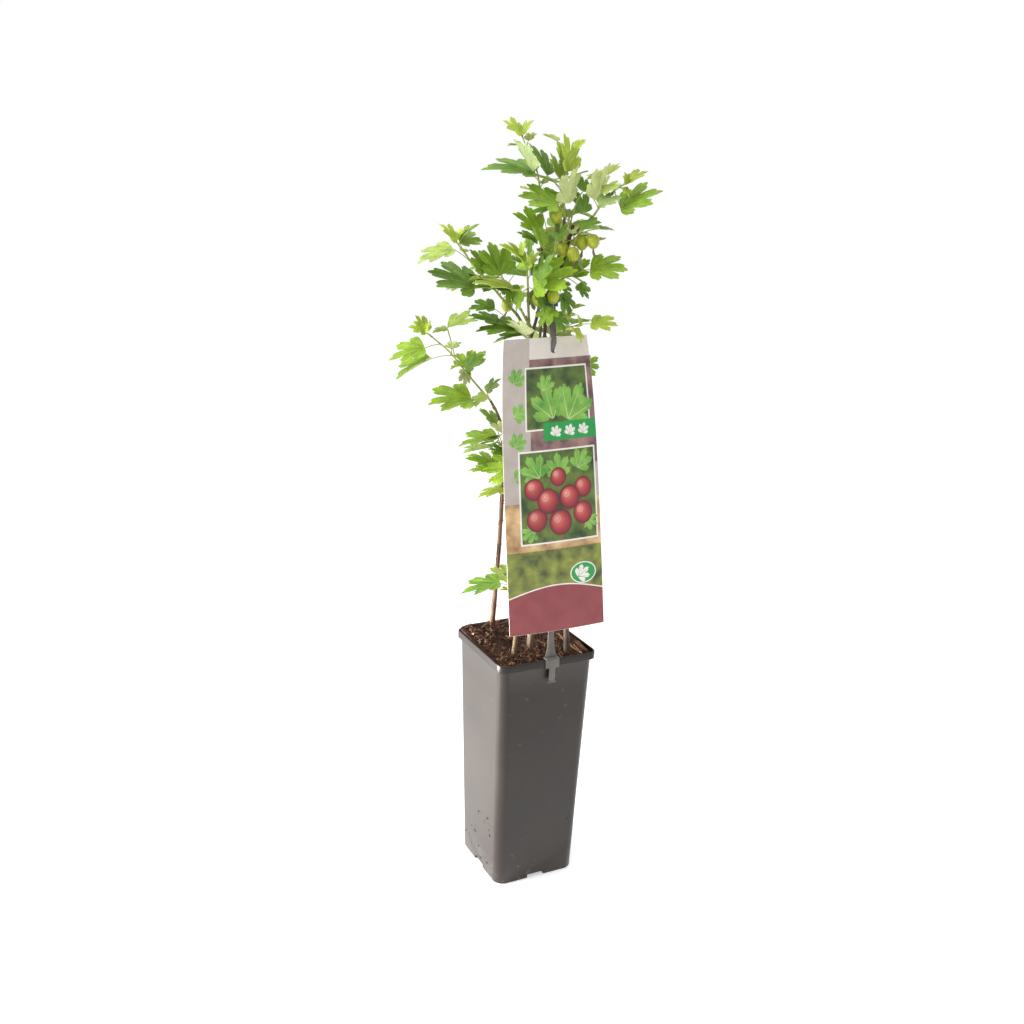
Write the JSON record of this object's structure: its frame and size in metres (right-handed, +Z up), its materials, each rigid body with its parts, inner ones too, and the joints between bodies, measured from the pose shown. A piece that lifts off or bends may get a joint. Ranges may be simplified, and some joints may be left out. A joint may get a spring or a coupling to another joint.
{
  "type": "potted gooseberry bush",
  "caption": "Young red gooseberry bush with lobed leaves and small green berries, growing from compost in a deep tapered square pot, with a hanging picture card on a grey holder.",
  "frame": {"origin": "middle of the pot's flat underside", "axes": "+Z up along the pot's height; the pot's dark front face, with the label's holder, looks along -Y; +X to that face's right"},
  "size_m": [0.2094, 0.1672, 0.7305],
  "materials": {
    "grey_plastic": "satin",
    "compost": "rough",
    "printed_card": "satin",
    "pale_grey_plastic": "satin",
    "teal_tie": "satin",
    "bark": "rough",
    "foliage": "satin"
  },
  "bodies": {
    "root": {"pot": "grey_plastic", "compost": "compost", "label_card": "printed_card", "label_holder": "pale_grey_plastic", "tie": "teal_tie", "cane_left": "bark", "cane_front": "bark", "cane_middle": "bark", "cane_right": "bark", "bough_low_left": "bark", "bough_high_left": "bark", "bough_mid": "bark", "bough_right": "bark", "bough_back_left": "bark", "bough_back_right": "bark", "bough_back_low": "bark", "leaves_low_left": "foliage", "leaves_high_left": "foliage", "leaves_mid": "foliage", "leaves_top_left": "foliage", "leaves_top": "foliage", "leaves_right": "foliage", "leaves_cane_left": "foliage", "leaves_cane_low": "foliage", "leaves_foot": "foliage", "leaves_under": "foliage", "leaves_right_up": "foliage", "leaves_fruit": "foliage", "leaves_heart_right": "foliage", "leaves_heart_front": "foliage", "leaves_right_low": "foliage", "leaves_cane_right": "foliage", "leaves_back_left": "foliage", "leaves_back_right": "foliage", "leaves_back_low": "foliage"}
  },
  "joints": []
}
